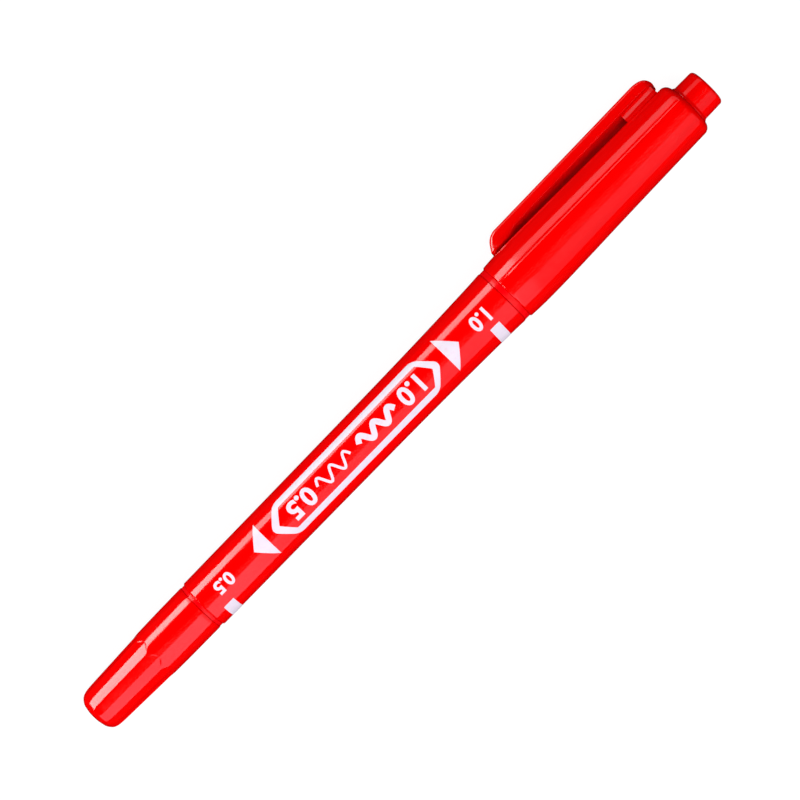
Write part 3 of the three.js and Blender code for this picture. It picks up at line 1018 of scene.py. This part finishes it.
class MARKER_OT_marks(bpy.types.Operator):
    """Prints the barrel: a long frame, arrows, bars, nib widths as numerals, and sample strokes"""

    bl_idname = "marker.marks"
    bl_label = "Marks"

    def execute(self, context):
        sizes = context.scene.marker_sizes
        high = MARK_HALF_WIDTH
        low = high - sizes.frame_line / MM
        outside = self.hollow_shape("printed_frame", FRAME_OUTSIDE, high, 0.9)
        inside = self.hollow_shape("frame_window", FRAME_WINDOW, low, 0.15)
        inside.select_set(True)
        outside.select_set(True)
        bpy.context.view_layer.objects.active = outside
        bpy.ops.object.join()
        bpy.ops.object.mode_set(mode="EDIT")
        bpy.ops.mesh.select_all(action="SELECT")
        bpy.ops.mesh.fill(use_beauty=True)
        bpy.ops.object.mode_set(mode="OBJECT")
        self.print_on(outside)
        for name, tip, base in (
            ("small_end_arrow", 36.75, 39.65),
            ("large_end_arrow", 83.1, 80.05),
        ):
            self.print_on(self.flat_shape(name, [(tip, 0), (base, -high), (base, high)]))
        for name, start, end, first in (
            ("small_end_bar", 27.1, 29.25, 36),
            ("large_end_bar", 87.9, 89.9, 27),
        ):
            arcs = [-angle * PRINT_RADIUS for angle in (math.radians(first), BAR_LAST)]
            corners = [(start, arcs[0]), (end, arcs[0]), (end, arcs[1]), (start, arcs[1])]
            self.print_on(self.flat_shape(name, corners, unrolled=True))
        tall = sizes.numeral_height / MM
        for name, words, middle, height in (
            ("wide_nib_numeral", "1.0", 72.3, tall),
            ("narrow_nib_numeral", "0.5", 47.6, tall),
            ("large_end_numeral", "1.0", 87.9, 2.5),
            ("small_end_numeral", "0.5", 30.0, 2.3),
        ):
            self.print_on(self.numeral(name, words, middle, height))
        self.print_on(self.stroke("wide_stroke", 60.6, 68.6, 0.95, 0.9))
        self.print_on(self.stroke("narrow_stroke", 51.2, 58.6, 0.45, 1.05))
        return {"FINISHED"}

    def flat_shape(self, name, corners, unrolled=False):
        """A face with the given corners, as seen from above the pen, on the unrolled barrel."""
        nothing_selected()
        bpy.ops.mesh.primitive_circle_add(vertices=len(corners), fill_type="NGON")
        piece = name_piece(name)
        for vertex, (x, y) in zip(piece.data.vertices, corners):
            across = y if unrolled else PRINT_RADIUS * math.asin(y / PRINT_RADIUS)
            vertex.co = (x * MM, across * MM, 0)
        return piece

    def hollow_shape(self, name, stations, high, rounding):
        """The outline of a bar with pointed ends, its four side corners rounded, without a face."""
        tip, first, second, end = stations
        corners = [(tip, 0), (first, -high), (second, -high), (end, 0)]
        corners += [(second, high), (first, high)]
        piece = self.flat_shape(name, corners)
        for vertex, (x, y) in zip(piece.data.vertices, corners):
            vertex.select = y != 0
        bpy.ops.object.mode_set(mode="EDIT")
        bpy.ops.mesh.bevel(offset=rounding * MM, segments=6, affect="VERTICES")
        bpy.ops.mesh.select_all(action="SELECT")
        bpy.ops.mesh.delete(type="ONLY_FACE")
        bpy.ops.object.mode_set(mode="OBJECT")
        return piece

    def numeral(self, name, words, middle, height):
        """Numerals of the given height, reading from the large cap towards the small one."""
        nothing_selected()
        bpy.ops.object.text_add(rotation=(0, 0, math.pi))
        text = bpy.context.object
        text.data.body = words
        text.data.size = 0.01
        text.data.offset = 0.00035
        text.data.resolution_u = 6
        bpy.ops.object.convert(target="MESH")
        piece = name_piece(name)
        corners = [vertex.co for vertex in piece.data.vertices]
        low = [min(co[axis] for co in corners) for axis in range(2)]
        top = [max(co[axis] for co in corners) for axis in range(2)]
        scale = height * MM / (top[1] - low[1])
        for vertex in piece.data.vertices:
            vertex.co.x = (vertex.co.x - (low[0] + top[0]) / 2) * scale + middle * MM
            vertex.co.y = (vertex.co.y - (low[1] + top[1]) / 2) * scale
        return piece

    def stroke(self, name, start, end, width, sway):
        """A sample of handwriting: a wave drawn with a nib of the given width."""
        nothing_selected()
        columns = 96
        bpy.ops.mesh.primitive_grid_add(x_subdivisions=columns, y_subdivisions=1, size=1)
        piece = name_piece(name)
        turns = STROKE_WAVES * 2 * math.pi
        for vertex in piece.data.vertices:
            along = vertex.co.x + 0.5
            side = vertex.co.y * width
            phase = along * turns
            slope = sway * math.cos(phase) * turns / (end - start)
            lean = math.hypot(1, slope)
            x = start + along * (end - start) - side * slope / lean
            y = sway * math.sin(phase) + side / lean
            vertex.co = (x * MM, y * MM, 0)
        return piece

    def print_on(self, piece):
        """Dices a flat shape finely, gives it the ink's thickness and rolls it on to the barrel."""
        sizes = bpy.context.scene.marker_sizes
        nothing_selected()
        piece.select_set(True)
        bpy.context.view_layer.objects.active = piece
        corners = [vertex.co.copy() for vertex in piece.data.vertices]
        bpy.ops.object.mode_set(mode="EDIT")
        for axis, pitch in ((0, 1.5 * MM), (1, 0.3 * MM)):
            low = min(co[axis] for co in corners)
            high = max(co[axis] for co in corners)
            normal = (1, 0, 0) if axis == 0 else (0, 1, 0)
            cut = math.ceil(low / pitch) * pitch
            while cut < high:
                bpy.ops.mesh.select_all(action="SELECT")
                place = (cut, 0, 0) if axis == 0 else (0, cut, 0)
                bpy.ops.mesh.bisect(plane_co=place, plane_no=normal)
                cut += pitch
        bpy.ops.mesh.select_all(action="SELECT")
        bpy.ops.mesh.remove_doubles(threshold=1e-6)
        bpy.ops.mesh.normals_make_consistent(inside=False)
        bpy.ops.mesh.select_all(action="SELECT")
        bpy.ops.mesh.extrude_region_move(
            TRANSFORM_OT_translate={"value": (0, 0, sizes.print_height + PRINT_SINK * MM)}
        )
        weld(piece)
        for vertex in piece.data.vertices:
            x, y, z = vertex.co / MM
            angle = y / PRINT_RADIUS
            r = radius_at(BARREL_SIDE, x) - PRINT_SINK + z
            vertex.co = (x * MM, r * math.sin(angle) * MM, r * math.cos(angle) * MM)
        set_down(piece, 0)
        smooth(piece, 30)
        finish_piece(piece, material("white_print"), "barrel")


class MARKER_OT_stage(bpy.types.Operator):
    """Sets the pale floor and the lights on both sides of the pen"""

    bl_idname = "marker.stage"
    bl_label = "Stage"

    def execute(self, context):
        nothing_selected()
        bpy.ops.mesh.primitive_grid_add(
            x_subdivisions=8, y_subdivisions=8, size=FLOOR_SIZE, location=(0, 0, -FLOOR_DROP)
        )
        floor = name_piece("studio_floor")
        floor.data.materials.append(material("studio_paper"))
        floor.visible_glossy = False
        for name, along, lean, far, size, watts, tint in LIGHTS:
            light = self.light(name, along, math.radians(lean), far, size, watts)
            light.data.color = tint
            light.visible_glossy = name != "top_light"
        world = context.scene.world or bpy.data.worlds.new("studio_world")
        context.scene.world = world
        world.use_nodes = True
        backdrop = world.node_tree.nodes["Background"]
        backdrop.inputs["Color"].default_value = (1, 1, 1, 1)
        backdrop.inputs["Strength"].default_value = 0.003
        bpy.ops.object.camera_add(
            location=(CAMERA_X, CAMERA_Y, CAMERA_HEIGHT), rotation=(0, 0, -CAMERA_TURN)
        )
        camera = context.object
        camera.name = "camera_above"
        camera.data.lens = CAMERA_LENS
        camera.data.clip_start = 0.01
        context.scene.camera = camera
        context.scene.view_settings.view_transform = "Standard"
        return {"FINISHED"}

    def light(self, name, along, lean, far, size, watts):
        """A rectangular soft light, leaning from straight above towards +Y."""
        place = (along, far * math.sin(lean), far * math.cos(lean))
        bpy.ops.object.light_add(type="AREA", location=place, rotation=(-lean, 0, 0))
        light = bpy.context.object
        light.name = name
        light.data.shape = "RECTANGLE"
        light.data.size, light.data.size_y = size
        light.data.energy = watts
        return light


class MARKER_PT_panel(bpy.types.Panel):
    """Lists the marker's pieces in the order they are built"""

    bl_idname = "MARKER_PT_panel"
    bl_label = "Twin-tip Marker"
    bl_space_type = "VIEW_3D"
    bl_region_type = "UI"
    bl_category = "Marker"

    def draw(self, context):
        column = self.layout.column()
        for settings in (context.scene.marker_sizes, context.scene.marker_colours):
            for name in settings.__annotations__:
                column.prop(settings, name)
        for step in STEPS:
            column.operator(step.bl_idname)


# ---- Running ----------------------------------------------------------------------------------

STEPS = (
    MARKER_OT_stage,
    MARKER_OT_barrel,
    MARKER_OT_large_cap,
    MARKER_OT_knob,
    MARKER_OT_clip,
    MARKER_OT_small_cap,
    MARKER_OT_holders,
    MARKER_OT_nibs,
    MARKER_OT_liners,
    MARKER_OT_ink_store,
    MARKER_OT_marks,
)
CLASSES = (MarkerSizes, MarkerColours, *STEPS, MARKER_PT_panel)


def register():
    for cls in CLASSES:
        bpy.utils.register_class(cls)
    bpy.types.Scene.marker_sizes = bpy.props.PointerProperty(type=MarkerSizes)
    bpy.types.Scene.marker_colours = bpy.props.PointerProperty(type=MarkerColours)


def unregister():
    del bpy.types.Scene.marker_colours
    del bpy.types.Scene.marker_sizes
    for cls in reversed(CLASSES):
        bpy.utils.unregister_class(cls)


def main():
    register()
    # Blender's own starting cube, light and camera go first.
    for thing in list(bpy.data.objects):
        if thing.type in ("MESH", "LIGHT", "CAMERA") and "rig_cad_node" not in thing:
            bpy.data.objects.remove(thing)
    for step in STEPS:
        group, action = step.bl_idname.split(".")
        getattr(getattr(bpy.ops, group), action)()


if __name__ == "__main__":
    main()
